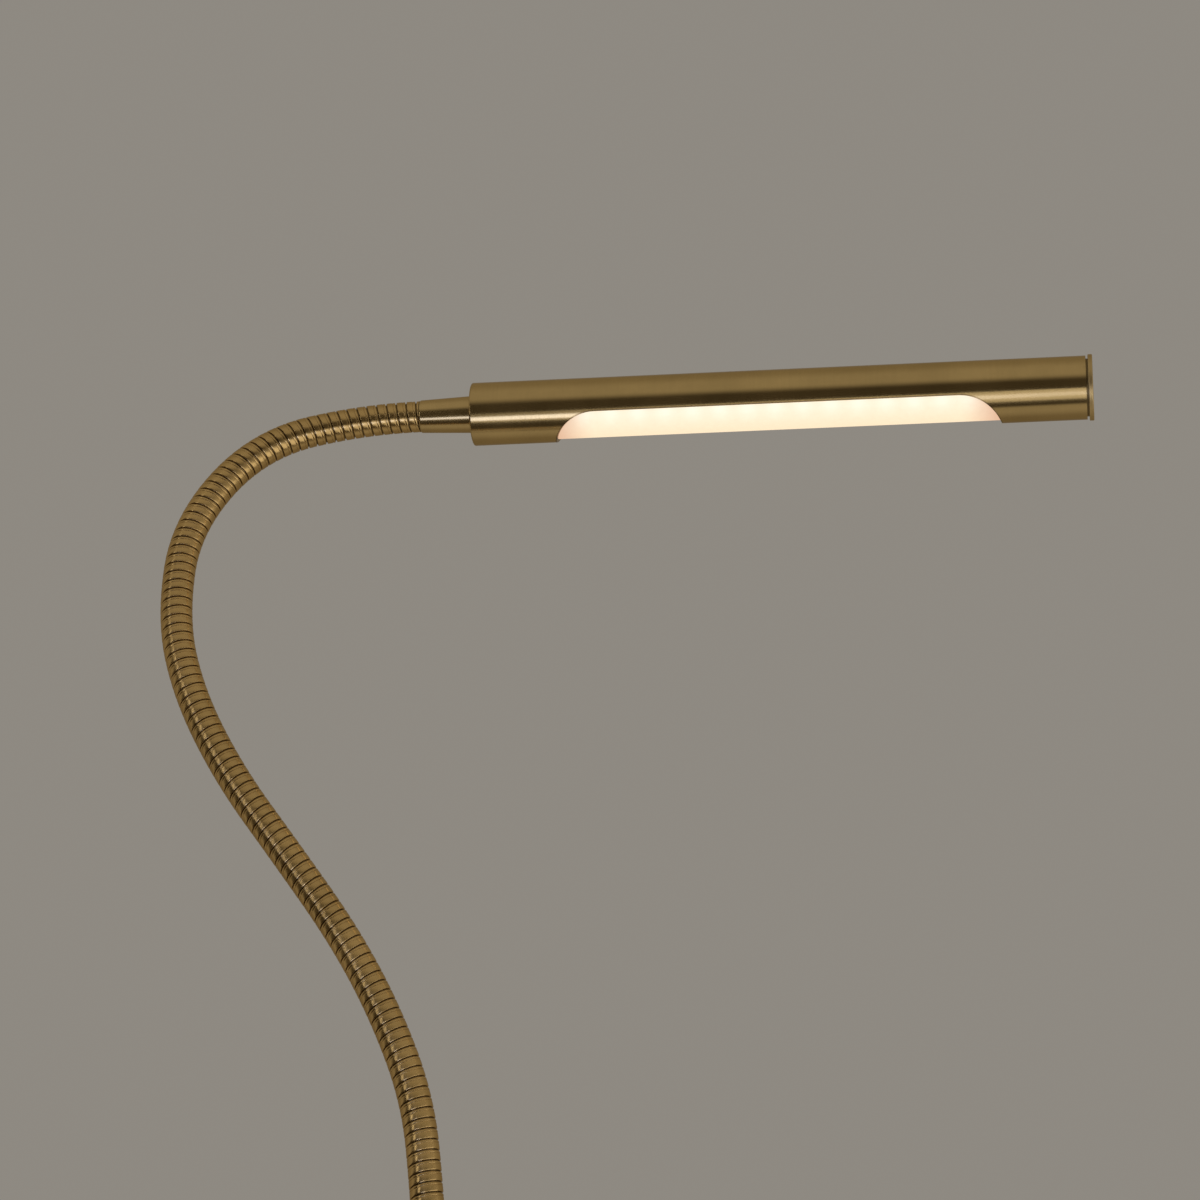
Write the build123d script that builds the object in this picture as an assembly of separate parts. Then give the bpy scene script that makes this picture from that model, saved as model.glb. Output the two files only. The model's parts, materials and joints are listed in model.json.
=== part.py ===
from build123d import *
import math
import os

# Clamp lamp: a straight tubular head on a wound gooseneck, on a driver housing with a screw clamp.
# Millimetres, +Z up. The origin is the middle of the clamp's upper seat, where the table top touches.
# The clamp opens towards +X, the switch faces -Y and the cord gland faces +Y.

# Clearances
FIT = 0.05                # radial gap of a fixed fit
SLIDE = 0.1               # radial gap of a sliding or turning fit
ROOM = 0.5                # gap between pieces that only lie side by side
EDGE = 0.5                # bevel of small turned edges

# Head tube and its cut-out
TUBE_D = 25.0
TUBE_WALL = 1.2
TUBE_LENGTH = 241.0
TUBE_RIM_R = 0.7          # rounding of the rear rim
RIM_SHARE = 0.8           # most of the wall that the rounding may take
CUT_END = 31.9            # whole tube left at each end
CUT_DROP = 1.4            # cut edge below the tube's axis
CUT_CORNER_R = 17.5

# End cap and rear plug
CAP_D = 25.8
CAP_T = 1.8
CAP_EDGE = 0.4
CAP_SHADOW_GAP = 0.8
CAP_SPIGOT_L = 9.0
CAP_WALL = 2.2
PLUG_T = 5.0

# Light source
CARRIER_FACE = 2.6        # carrier's flat face above the tube's axis
CARRIER_WALL = 1.8
CARRIER_WEB = 2.0
CARRIER_TUCK = 5.9        # carrier inside the tube at each end of the cut
LED_PITCH = 10.8
LED_WIDTH = 2.8
LED_LENGTH = 3.5
LED_T = 0.7
LED_BOARD_W = 9.0
LED_BOARD_T = 1.0
DIFFUSER_WALL = 1.2
DIFFUSER_LIP = 2.8        # diffuser edge above the cut edge
DIFFUSER_TUCK = 5.0       # diffuser inside the tube at each end of the cut
HEAD_WIRE_D = 0.8
HEAD_WIRE_SPREAD = 2.4
HEAD_WIRE_BEND = 2.4

# Gooseneck
NECK_D = 12.3
NECK_BORE = 6.4
RIB_DEPTH = 0.55
GROOVE_W = 0.8
GROOVE_BEVEL = 0.3
HINGE_COUNT = 12
RIBS_PER_LINK = 10
RIBS_PER_STUB = 7
DOME_EXTRA = 1.85         # joint sphere's radius past the neck's
DOME_GAP = 0.2
LEAD_D = 3.6
LEAD_ROOM = 0.4
ARC_SHARE = 0.45          # part of each run of the route that an arc may take

# Route of the neck's centre line from its foot, chosen to follow the bent shape
NECK_ROUTE = [
    (0, 0, 0),
    (0, 0, 36),
    (-3, 16, 76),
    (-7, 31, 108),
    (-20, 46, 139),
    (-36, 59, 166),
    (-58, 72, 195),
    (-80, 86, 223),
    (-97, 102, 253),
    (-105, 118, 282),
    (-102, 141, 319),
    (-75, 162, 351),
    (-33, 170.3, 361.0),
    (-12, 167.7, 361.8),
]

# Ferrule at the head and collar at the housing
FERRULE_L = 21.2
FERRULE_D = 14.7          # at the tube
FERRULE_NECK_D = 12.9     # at the neck
FERRULE_SHOULDER_R = 0.9
COLLAR_L = 20.0
COLLAR_D = 20.0
COLLAR_FLANGE_T = 3.0
COLLAR_WAIST_D = 17.0
SPIGOT_L = 10.0
STUD_D = 10.0
STUD_TAIL = 1.0           # thread past the lock nut
NUT_AF = 14.0
NUT_T = 4.0

# Driver housing
HOUSING_D = 38.0
HOUSING_WALL = 3.0
HOUSING_TOP_T = 3.0
HOUSING_EDGE = 4.0
SPOT_DEPTH = 1.8          # flats for the switch and the gland
SPOT_R = 8.4
BOSS_D = 6.0
BOSS_SINK = 0.5           # boss into the housing wall
BASE_SCREW_D = 3.0
BASE_SCREW_HEAD_D = 6.0
BASE_SCREW_HEAD_T = 1.7
BASE_SCREW_BITE = 8.0

# Driver board
STANDOFF_H = 4.0
STANDOFF_D = 4.0
PEG_D = 2.0
PEG_TAIL = 0.6
BOARD_T = 1.6
BOARD_ROOM = 1.0
BLOCK_W = 9.0
BLOCK_DEPTH = 6.0
BLOCK_H = 9.0
WIRING_ROOM = 6.0
PART_W = 5.0
PART_H = 2.4

# Switch
BUTTON_D = 9.0
BUTTON_PROUD = 2.2
BUTTON_EDGE = 0.6
BUTTON_TRAVEL = 1.2
BUTTON_COLLAR_D = 11.0
BUTTON_COLLAR_T = 1.0
BEZEL_D = 14.6
BEZEL_T = 1.2
BEZEL_WALL = 1.1
SWITCH_DEPTH = 4.0
SWITCH_W = 6.4
PLUNGER_D = 3.4
PLUNGER_REACH = 1.0       # plunger inside the switch body at rest

# Cord gland
GLAND_BORE = 6.2
GLAND_WALL = 1.7
GLAND_FLANGE_D = 14.0
GLAND_FLANGE_T = 2.5
GLAND_NOSE_L = 6.0
GLAND_NUT_AF = 13.0
GLAND_NUT_T = 3.0
GLAND_TAIL = 1.0

# Clamp frame
JAW_W = 40.0
JAW_T = 7.0
LOWER_JAW_T = 10.0
THROAT = 24.0             # screw axis to the spine's inner face
SPINE_T = 9.0
FRAME_INNER_R = 4.0
FRAME_REAR_R = 5.0
FRAME_CHAMFER = 1.5
SEAT_PAD_T = 2.0
SEAT_PAD_INSET = 2.0

# Clamp spindle, knob and pressure pad
SPINDLE_D = 10.0
TABLE_GAP = 25.0          # jaw opening as posed
CLOSE_TRAVEL = 22.0
OPEN_TRAVEL = 27.0
PAD_REST = 4.0            # pad above the lower jaw when the clamp is wide open
BUSH_D = 16.0
BUSH_FLANGE_D = 20.0
BUSH_FLANGE_T = 2.0
PAD_D = 30.0
PAD_T = 6.0
PAD_EDGE = 1.0
PAD_RUBBER_D = 28.0
PAD_RUBBER_T = 2.0
JOURNAL_D = 6.0
CLIP_D = 10.0
CLIP_T = 0.8
CLIP_GROOVE = 0.5
CLIP_MOUTH = 4.0
CLIP_POCKET_D = 12.0
CLIP_POCKET_T = 2.0
KNOB_D = 32.0
KNOB_T = 12.0
KNOB_EDGE = 0.8
KNOB_FLUTES = 12
KNOB_FLUTE_D = 5.6
KNOB_FLUTE_OUT = 1.1      # flute centres outside the knob's rim
KNOB_HUB_D = 18.0
KNOB_HUB_L = 8.0
KNOB_FLOOR = 2.5
KNOB_PIN_D = 3.0
KNOB_CLEAR = 2.0          # knob hub below the bush when the clamp is closed

# Levels and radii that follow from the sizes above
TUBE_R = TUBE_D / 2
TUBE_BORE_R = TUBE_R - TUBE_WALL
CUT_LENGTH = TUBE_LENGTH - 2 * CUT_END
LED_COUNT = math.floor(CUT_LENGTH / LED_PITCH) - 1
LED_BOARD_L = LED_COUNT * LED_PITCH
LED_BOARD_START = (TUBE_LENGTH - LED_BOARD_L) / 2
NECK_R = NECK_D / 2
GROOVE_R = NECK_R - RIB_DEPTH
DOME_R = NECK_R + DOME_EXTRA
DOME_RISE = math.sqrt(DOME_R**2 - GROOVE_R**2)
LEAD_BORE_R = LEAD_D / 2 + LEAD_ROOM
SPIGOT_R = NECK_BORE / 2 - FIT
STUD_HOLE_R = STUD_D / 2 + FIT
HOUSING_R = HOUSING_D / 2
HOUSING_BORE_R = HOUSING_R - HOUSING_WALL
SPOT_Y = HOUSING_R - SPOT_DEPTH
BOSS_X = HOUSING_BORE_R - BOSS_D / 2 + BOSS_SINK
BOARD_HALF_W = BOSS_X - BOSS_D / 2 - BOARD_ROOM
BOARD_HALF_L = math.sqrt(HOUSING_BORE_R**2 - BOARD_HALF_W**2) - BOARD_ROOM
GLAND_NUT_R = GLAND_NUT_AF / math.sqrt(3)
JAW_TOP = SEAT_PAD_T + JAW_T
BOARD_BOTTOM = JAW_TOP + STANDOFF_H
BOARD_TOP = BOARD_BOTTOM + BOARD_T
BLOCK_TOP = BOARD_TOP + BLOCK_H
SIDE_Z = BOARD_TOP + PART_H + ROOM + GLAND_NUT_R
CEILING = max(BLOCK_TOP + WIRING_ROOM + STUD_TAIL + NUT_T, SIDE_Z + GLAND_NUT_R + ROOM)
HOUSING_TOP = CEILING + HOUSING_TOP_T
NECK_FOOT = HOUSING_TOP + COLLAR_L
PAD_TOP = -TABLE_GAP - PAD_RUBBER_T
PAD_BOTTOM = PAD_TOP - PAD_T
JAW_GAP = OPEN_TRAVEL + PAD_REST - PAD_BOTTOM
JAW_BOTTOM = -JAW_GAP - LOWER_JAW_T
KNOB_TOP = JAW_BOTTOM - BUSH_FLANGE_T - CLOSE_TRAVEL - KNOB_CLEAR
KNOB_DISC_TOP = KNOB_TOP - KNOB_HUB_L
KNOB_BOTTOM = KNOB_DISC_TOP - KNOB_T
SWITCH_BACK_Y = BLOCK_DEPTH / 2 + ROOM
SWITCH_FRONT_Y = SWITCH_BACK_Y + SWITCH_DEPTH
COLLAR_BACK_Y = SWITCH_FRONT_Y + BUTTON_TRAVEL + ROOM
COLLAR_FRONT_Y = COLLAR_BACK_Y + BUTTON_COLLAR_T
BEZEL_SLEEVE_R = BUTTON_D / 2 + SLIDE + BEZEL_WALL

FROM_BASE = (Align.CENTER, Align.CENTER, Align.MIN)
FROM_CORNER = (Align.MIN, Align.CENTER, Align.MIN)


def turned(*points):
    """A solid turned about Z from (radius, height) points."""
    return revolve(Plane.XZ * make_face(Polyline(*points, close=True)), Axis.Z)


def rod(radius, low, high):
    """A round bar on the Z axis between two heights."""
    return Pos(0, 0, low) * Cylinder(radius, high - low, align=FROM_BASE)


def hex_nut(across_flats, hole_r, low, high):
    """A hexagon nut on the Z axis between two heights."""
    blank = extrude(RegularPolygon(across_flats / 2, 6, major_radius=False), high - low)
    return Pos(0, 0, low) * blank - rod(hole_r, low - ROOM, high + ROOM)


def half_length(start, end, height):
    """A block that keeps what lies above a height in X, between two Z levels."""
    size = 2 * TUBE_D
    return Pos(height, 0, start) * Box(size, size, end - start, align=FROM_CORNER)


# Gooseneck route

def route_points():
    """The neck's route in the part's frame."""
    return [Vector(x, y, z + NECK_FOOT) for x, y, z in NECK_ROUTE]


def bend_radii(points):
    """The largest even arc at each inner point of a route."""
    radii = []
    for before, here, after in zip(points, points[1:], points[2:]):
        run_in = here - before
        run_out = after - here
        half_turn = math.radians(run_in.get_angle(run_out)) / 2
        radii.append(ARC_SHARE * min(run_in.length, run_out.length) / math.tan(half_turn))
    return radii


ROUTE = route_points()
BEND_RADII = bend_radii(ROUTE)
NECK_LINE = FilletPolyline(*ROUTE, radius=BEND_RADII)
NECK_LENGTH = NECK_LINE.length
RIB_PITCH = NECK_LENGTH / (RIBS_PER_LINK * (HINGE_COUNT - 1) + 2 * RIBS_PER_STUB)
print("neck length", round(NECK_LENGTH, 1), "rib pitch", round(RIB_PITCH, 3))
print("neck bend radii", [round(r) for r in BEND_RADII])


def neck_frame(station, ahead=0.0):
    """A plane square to the neck at a station, moved ahead along its own normal."""
    spot = min(max(station, 0.0), NECK_LENGTH)
    point = NECK_LINE.position_at(spot, PositionMode.LENGTH)
    along = NECK_LINE.tangent_at(spot, PositionMode.LENGTH).normalized()
    steady = Vector(0, 1, 0) - along * along.Y
    return Plane(point + along * ahead, x_dir=steady, z_dir=along)


def hinge_station(number):
    """Where the seam of a neck hinge lies along the neck, counted from 1 at the base."""
    return (RIBS_PER_STUB + RIBS_PER_LINK * (number - 1)) * RIB_PITCH


def hinge_frame(number):
    """The plane through a hinge's centre, square to the neck at its seam."""
    return neck_frame(hinge_station(number), DOME_RISE)


def ring(station, radius, ahead=0.0):
    """One circle round the neck."""
    return neck_frame(station, ahead) * Circle(radius)


def neck_length(start, ribs, domed, cupped):
    """One ribbed length of the neck with its bore, a domed foot and a cupped top."""
    end = start + ribs * RIB_PITCH
    rings = [ring(start, GROOVE_R)]
    for number in range(ribs):
        low = start + number * RIB_PITCH
        high = low + RIB_PITCH
        rings.append(ring(low + GROOVE_W / 2, GROOVE_R))
        rings.append(ring(low + GROOVE_W / 2 + GROOVE_BEVEL, NECK_R))
        rings.append(ring(high - GROOVE_W / 2 - GROOVE_BEVEL, NECK_R))
        rings.append(ring(high - GROOVE_W / 2, GROOVE_R))
    rings.append(ring(end, GROOVE_R))
    body = loft(rings, ruled=True)
    if domed:
        dome = neck_frame(start, DOME_RISE) * Sphere(DOME_R)
        body += split(dome, bisect_by=neck_frame(start), keep=Keep.BOTTOM)
    if cupped:
        body -= neck_frame(end, DOME_RISE) * Sphere(DOME_R + DOME_GAP)
    bore_r = NECK_BORE / 2
    bore = [ring(start, bore_r, -DOME_R)]
    bore += [ring(start + number * RIB_PITCH, bore_r) for number in range(ribs + 1)]
    bore.append(ring(end, bore_r, ROOM))
    return body - loft(bore, ruled=True)


def make_neck():
    """The stub in the base, the links between hinges and the stub in the head."""
    lengths = {"neck_stub_base": neck_length(0.0, RIBS_PER_STUB, False, True)}
    for number in range(1, HINGE_COUNT):
        start = hinge_station(number)
        lengths[f"neck_link_{number:02d}"] = neck_length(start, RIBS_PER_LINK, True, True)
    lengths["neck_stub_head"] = neck_length(hinge_station(HINGE_COUNT), RIBS_PER_STUB, True, False)
    return lengths


# Head, in its own frame: Z along the tube from its rear end, X up

NECK_TIP = neck_frame(NECK_LENGTH)
HEAD_ORIGIN = NECK_TIP.origin + NECK_TIP.z_dir * FERRULE_L
HEAD_UP = Vector(0, 0, 1) - NECK_TIP.z_dir * NECK_TIP.z_dir.Z
HEAD_FRAME = Plane(HEAD_ORIGIN, x_dir=HEAD_UP, z_dir=NECK_TIP.z_dir)
LEAD_END = PLUG_T + NUT_T + STUD_TAIL + ROOM


def make_head_tube():
    """Tube with its lower side cut away between two coves."""
    tube = rod(TUBE_R, 0, TUBE_LENGTH) - rod(TUBE_BORE_R, -ROOM, TUBE_LENGTH + ROOM)
    rims = tube.edges().filter_by(GeomType.CIRCLE).group_by(Axis.Z)[0]
    tube = fillet(rims.sort_by(SortBy.RADIUS)[-1], min(TUBE_RIM_R, RIM_SHARE * TUBE_WALL))
    depth = TUBE_R - CUT_DROP + 2 * CUT_CORNER_R
    window = Plane.XZ * Pos(-CUT_DROP - depth / 2, TUBE_LENGTH / 2) * RectangleRounded(
        depth, CUT_LENGTH, CUT_CORNER_R
    )
    return tube - extrude(window, TUBE_D, both=True)


def make_end_cap():
    """Cap flange, shadow gap and hollow spigot."""
    spigot_r = TUBE_BORE_R - FIT
    face = TUBE_LENGTH + CAP_SHADOW_GAP
    inner = TUBE_LENGTH - CAP_SPIGOT_L
    cap = rod(CAP_D / 2, face, face + CAP_T) + rod(spigot_r, inner, face)
    cap -= rod(spigot_r - CAP_WALL, inner - ROOM, face)
    edges = cap.edges().filter_by(GeomType.CIRCLE).sort_by(SortBy.RADIUS)[-2:]
    return fillet(edges, CAP_EDGE)


def make_rear_plug():
    """Disc that closes the tube's rear end and carries the ferrule."""
    return rod(TUBE_BORE_R - FIT, 0, PLUG_T) - rod(STUD_HOLE_R, -ROOM, PLUG_T + ROOM)


def make_ferrule():
    """Tapered ferrule with a spigot in the neck and a threaded stud in the plug."""
    ferrule = turned(
        (LEAD_BORE_R, -FERRULE_L - SPIGOT_L),
        (SPIGOT_R, -FERRULE_L - SPIGOT_L),
        (SPIGOT_R, -FERRULE_L),
        (FERRULE_NECK_D / 2, -FERRULE_L),
        (FERRULE_D / 2, 0),
        (STUD_D / 2, 0),
        (STUD_D / 2, PLUG_T + NUT_T + STUD_TAIL),
        (LEAD_BORE_R, PLUG_T + NUT_T + STUD_TAIL),
    )
    rims = ferrule.edges().filter_by(GeomType.CIRCLE).group_by(SortBy.RADIUS)
    return fillet(rims[-2], FERRULE_SHOULDER_R)


def make_led_carrier():
    """Hollow half-round aluminium bar with a flat face for the board."""
    start = CUT_END - CARRIER_TUCK
    end = TUBE_LENGTH - start
    outer_r = TUBE_BORE_R - SLIDE
    outer = rod(outer_r, start, end) & half_length(start, end, CARRIER_FACE)
    inner = rod(outer_r - CARRIER_WALL, start, end)
    inner &= half_length(start, end, CARRIER_FACE + CARRIER_WEB)
    return outer - inner


def make_led_board():
    """Strip board under the carrier's flat face."""
    face = CARRIER_FACE - LED_BOARD_T
    return Pos(face, 0, LED_BOARD_START) * Box(LED_BOARD_T, LED_BOARD_W, LED_BOARD_L, align=FROM_CORNER)


def make_led_chips():
    """The light sources, evenly spaced on the board."""
    face = CARRIER_FACE - LED_BOARD_T
    chips = []
    for number in range(LED_COUNT):
        middle = LED_BOARD_START + (number + 0.5) * LED_PITCH
        chip = Box(LED_T, LED_WIDTH, LED_LENGTH, align=(Align.MAX, Align.CENTER, Align.CENTER))
        chips.append(Pos(face, 0, middle) * chip)
    return Compound(children=chips)


def make_diffuser():
    """Opal trough that fills the cut-out from inside the tube."""
    start = CUT_END - DIFFUSER_TUCK
    end = TUBE_LENGTH - start
    outer_r = TUBE_BORE_R - SLIDE
    trough = rod(outer_r, start, end) - rod(outer_r - DIFFUSER_WALL, start - ROOM, end + ROOM)
    return trough - half_length(start - ROOM, end + ROOM, DIFFUSER_LIP - CUT_DROP)


def make_head_wires():
    """Two wires from the neck lead to the end of the board."""
    level = CARRIER_FACE - LED_BOARD_T / 2 - SLIDE
    foot = LEAD_END + ROOM
    gap = LED_BOARD_START - foot
    wires = []
    for side in (-1, 1):
        line = FilletPolyline(
            (0, side * LEAD_D / 4, foot),
            (0, side * LEAD_D / 4, foot + gap / 3),
            (level, side * HEAD_WIRE_SPREAD, LED_BOARD_START - gap / 3),
            (level, side * HEAD_WIRE_SPREAD, LED_BOARD_START),
            radius=HEAD_WIRE_BEND,
        )
        start = Plane(line @ 0, z_dir=line % 0)
        wires.append(sweep(start * Circle(HEAD_WIRE_D / 2), path=line))
    return Compound(children=wires)


def make_neck_lead():
    """The lead from the terminal block through the neck into the head."""
    start = Vector(0, 0, BLOCK_TOP)
    end = HEAD_ORIGIN + HEAD_FRAME.z_dir * LEAD_END
    line = FilletPolyline(start, *ROUTE[1:-1], end, radius=BEND_RADII)
    lead = sweep(Plane(start, z_dir=(0, 0, 1)) * Circle(LEAD_D / 2), path=line)
    filled = lead.volume / (math.pi * LEAD_D**2 / 4 * line.length)
    print("lead length", round(line.length, 1), "volume ratio", round(filled, 4))
    return lead


# Base: collar, housing, board, switch and gland

def make_collar():
    """Collar on the housing that carries the neck."""
    tail = CEILING - NUT_T - STUD_TAIL
    return turned(
        (LEAD_BORE_R, tail),
        (STUD_D / 2, tail),
        (STUD_D / 2, HOUSING_TOP),
        (COLLAR_D / 2, HOUSING_TOP),
        (COLLAR_D / 2, HOUSING_TOP + COLLAR_FLANGE_T - EDGE),
        (COLLAR_D / 2 - EDGE, HOUSING_TOP + COLLAR_FLANGE_T),
        (COLLAR_WAIST_D / 2, HOUSING_TOP + COLLAR_FLANGE_T),
        (NECK_R, NECK_FOOT - EDGE),
        (NECK_R - EDGE, NECK_FOOT),
        (SPIGOT_R, NECK_FOOT),
        (SPIGOT_R, NECK_FOOT + SPIGOT_L),
        (LEAD_BORE_R, NECK_FOOT + SPIGOT_L),
    )


def side_frame(direction):
    """A frame on the housing's side at switch height, with Z pointing outwards along Y."""
    return Plane((0, 0, SIDE_Z), x_dir=(1, 0, 0), z_dir=(0, direction, 0))


def make_housing():
    """Round driver housing with flats for switch and gland and two screw bosses."""
    shell = rod(HOUSING_R, JAW_TOP, HOUSING_TOP)
    top_edge = shell.edges().filter_by(GeomType.CIRCLE).sort_by(Axis.Z)[-1]
    shell = fillet(top_edge, HOUSING_EDGE)
    shell -= rod(HOUSING_BORE_R, JAW_TOP - ROOM, CEILING)
    shell -= rod(STUD_HOLE_R, CEILING - ROOM, HOUSING_TOP + ROOM)
    for direction, hole_r in ((-1, BEZEL_SLEEVE_R + FIT), (1, GLAND_BORE / 2 + GLAND_WALL + FIT)):
        side = side_frame(direction)
        shell -= side * rod(SPOT_R, SPOT_Y, HOUSING_R + ROOM)
        shell -= side * rod(hole_r, HOUSING_BORE_R / 2, HOUSING_R)
    for x in (-BOSS_X, BOSS_X):
        shell += Pos(x, 0, 0) * rod(BOSS_D / 2, JAW_TOP, CEILING - NUT_T - ROOM)
        hole = rod(BASE_SCREW_D / 2 + FIT, JAW_TOP - ROOM, JAW_TOP + BASE_SCREW_BITE + ROOM)
        shell -= Pos(x, 0, 0) * hole
    return shell


def make_base_screws():
    """Countersunk screws that hold the housing on the upper jaw."""
    screw = turned(
        (0, SEAT_PAD_T),
        (BASE_SCREW_HEAD_D / 2, SEAT_PAD_T),
        (BASE_SCREW_D / 2, SEAT_PAD_T + BASE_SCREW_HEAD_T),
        (BASE_SCREW_D / 2, JAW_TOP + BASE_SCREW_BITE),
        (0, JAW_TOP + BASE_SCREW_BITE),
    )
    return Compound(children=[Pos(x, 0, 0) * screw for x in (-BOSS_X, BOSS_X)])


def standoff_spots():
    """Places of the four board standoffs."""
    x = BOARD_HALF_W - STANDOFF_D / 2
    y = BOARD_HALF_L - STANDOFF_D / 2
    return [(-x, -y), (x, -y), (-x, y), (x, y)]


def make_standoffs():
    """Four spacers with pegs that hold the board off the jaw."""
    post = rod(STANDOFF_D / 2, JAW_TOP, BOARD_BOTTOM)
    post += rod(PEG_D / 2, BOARD_BOTTOM, BOARD_TOP + PEG_TAIL)
    return Compound(children=[Pos(x, y, 0) * post for x, y in standoff_spots()])


def make_board():
    """Driver board."""
    board = Pos(0, 0, BOARD_BOTTOM) * Box(2 * BOARD_HALF_W, 2 * BOARD_HALF_L, BOARD_T, align=FROM_BASE)
    for x, y in standoff_spots():
        board -= Pos(x, y, 0) * rod(PEG_D / 2 + FIT, JAW_TOP, BOARD_TOP + ROOM)
    return board


def make_board_parts():
    """A coil and a chip beside the rear standoffs of the board."""
    x = BOARD_HALF_W - STANDOFF_D - PART_W / 2
    y = BOARD_HALF_L - STANDOFF_D / 2 - PART_W / 2
    coil = Pos(-x, y, 0) * rod(PART_W / 2, BOARD_TOP, BOARD_TOP + PART_H)
    chip = Pos(x, y, BOARD_TOP) * Box(PART_W, PART_W / 2, PART_H / 2, align=FROM_BASE)
    return Compound(children=[coil, chip])


def make_terminal_block():
    """Block where the neck lead is clamped."""
    return Pos(0, 0, BOARD_TOP) * Box(BLOCK_W, BLOCK_DEPTH, BLOCK_H, align=FROM_BASE)


def make_switch_body():
    """Push switch that stands on the board behind the button."""
    height = SIDE_Z + SWITCH_W / 2 - BOARD_TOP
    middle = -(SWITCH_BACK_Y + SWITCH_FRONT_Y) / 2
    body = Pos(0, middle, BOARD_TOP) * Box(SWITCH_W, SWITCH_DEPTH, height, align=FROM_BASE)
    depth = PLUNGER_REACH + BUTTON_TRAVEL + ROOM
    socket = rod(PLUNGER_D / 2 + SLIDE, SWITCH_FRONT_Y - depth, SWITCH_FRONT_Y + ROOM)
    return body - side_frame(-1) * socket


def make_plunger():
    """Plunger between the button and the switch."""
    return side_frame(-1) * rod(PLUNGER_D / 2, SWITCH_FRONT_Y - PLUNGER_REACH, COLLAR_BACK_Y)


def make_button():
    """Push button with the collar that keeps it in."""
    front = SPOT_Y + BEZEL_T + BUTTON_PROUD
    return side_frame(-1) * turned(
        (0, COLLAR_BACK_Y),
        (BUTTON_COLLAR_D / 2, COLLAR_BACK_Y),
        (BUTTON_COLLAR_D / 2, COLLAR_FRONT_Y),
        (BUTTON_D / 2, COLLAR_FRONT_Y),
        (BUTTON_D / 2, front - BUTTON_EDGE),
        (BUTTON_D / 2 - BUTTON_EDGE, front),
        (0, front),
    )


def make_bezel():
    """Flanged sleeve in the housing that guides the button."""
    bore_r = BUTTON_D / 2 + SLIDE
    front = SPOT_Y + BEZEL_T
    return side_frame(-1) * turned(
        (bore_r, COLLAR_FRONT_Y + SLIDE),
        (BEZEL_SLEEVE_R, COLLAR_FRONT_Y + SLIDE),
        (BEZEL_SLEEVE_R, SPOT_Y),
        (BEZEL_D / 2, SPOT_Y),
        (BEZEL_D / 2, front - BEZEL_T / 3),
        (BEZEL_D / 2 - BEZEL_T / 3, front),
        (bore_r, front),
    )


def gland_nut_face():
    """How far out the gland nut's corners let it sit inside the round housing."""
    return math.sqrt(HOUSING_BORE_R**2 - GLAND_NUT_R**2) - FIT


def make_gland():
    """Cord inlet: flange, nose and threaded tail with the cord's bore."""
    bore_r = GLAND_BORE / 2
    thread_r = bore_r + GLAND_WALL
    nose = SPOT_Y + GLAND_FLANGE_T + GLAND_NOSE_L
    tail = gland_nut_face() - GLAND_NUT_T - GLAND_TAIL
    return side_frame(1) * turned(
        (bore_r, tail),
        (thread_r, tail),
        (thread_r, SPOT_Y),
        (GLAND_FLANGE_D / 2, SPOT_Y),
        (GLAND_FLANGE_D / 2, SPOT_Y + GLAND_FLANGE_T),
        (thread_r, SPOT_Y + GLAND_FLANGE_T),
        (thread_r, nose - EDGE),
        (thread_r - EDGE, nose),
        (bore_r, nose),
    )


def make_gland_nut():
    """Nut that holds the gland inside the housing."""
    face = gland_nut_face()
    hole_r = GLAND_BORE / 2 + GLAND_WALL + FIT
    return side_frame(1) * hex_nut(GLAND_NUT_AF, hole_r, face - GLAND_NUT_T, face)


# Clamp

def jaw_plan(inset, rear):
    """Plan outline of the jaws, round at the front, from a rear edge in X."""
    half = JAW_W / 2 - inset
    bar = Pos(rear, 0) * Rectangle(-rear, 2 * half, align=(Align.MIN, Align.CENTER))
    return bar + Circle(half)


def make_clamp_frame():
    """C-shaped frame with bores for the thread bush and the housing screws."""
    back = -THROAT - SPINE_T
    plan = jaw_plan(0, back)
    plan = fillet(plan.vertices().group_by(Axis.X)[0], FRAME_REAR_R)
    frame = Pos(0, 0, JAW_BOTTOM) * extrude(plan, JAW_TOP - JAW_BOTTOM)
    rims = frame.edges().group_by(Axis.Z)
    frame = chamfer(rims[0] + rims[-1], FRAME_CHAMFER)
    reach = THROAT + JAW_W
    corner = (Align.MIN, Align.MIN)
    mouth = Pos(-THROAT, -JAW_GAP) * Rectangle(reach, JAW_GAP + SEAT_PAD_T, align=corner)
    mouth = fillet(mouth.vertices().group_by(Axis.X)[0], FRAME_INNER_R)
    frame -= extrude(Plane.XZ * mouth, JAW_W, both=True)
    frame -= rod(BUSH_D / 2 + FIT, JAW_BOTTOM - ROOM, -JAW_GAP + ROOM)
    for x in (-BOSS_X, BOSS_X):
        frame -= Pos(x, 0, 0) * turned(
            (0, SEAT_PAD_T - FIT),
            (BASE_SCREW_HEAD_D / 2 + 2 * FIT, SEAT_PAD_T - FIT),
            (BASE_SCREW_D / 2 + FIT, SEAT_PAD_T + BASE_SCREW_HEAD_T),
            (BASE_SCREW_D / 2 + FIT, JAW_TOP + ROOM),
            (0, JAW_TOP + ROOM),
        )
    return frame


def make_seat_pad():
    """Rubber pad under the upper jaw."""
    return extrude(jaw_plan(SEAT_PAD_INSET, -THROAT + FRAME_INNER_R + ROOM), SEAT_PAD_T)


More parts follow.
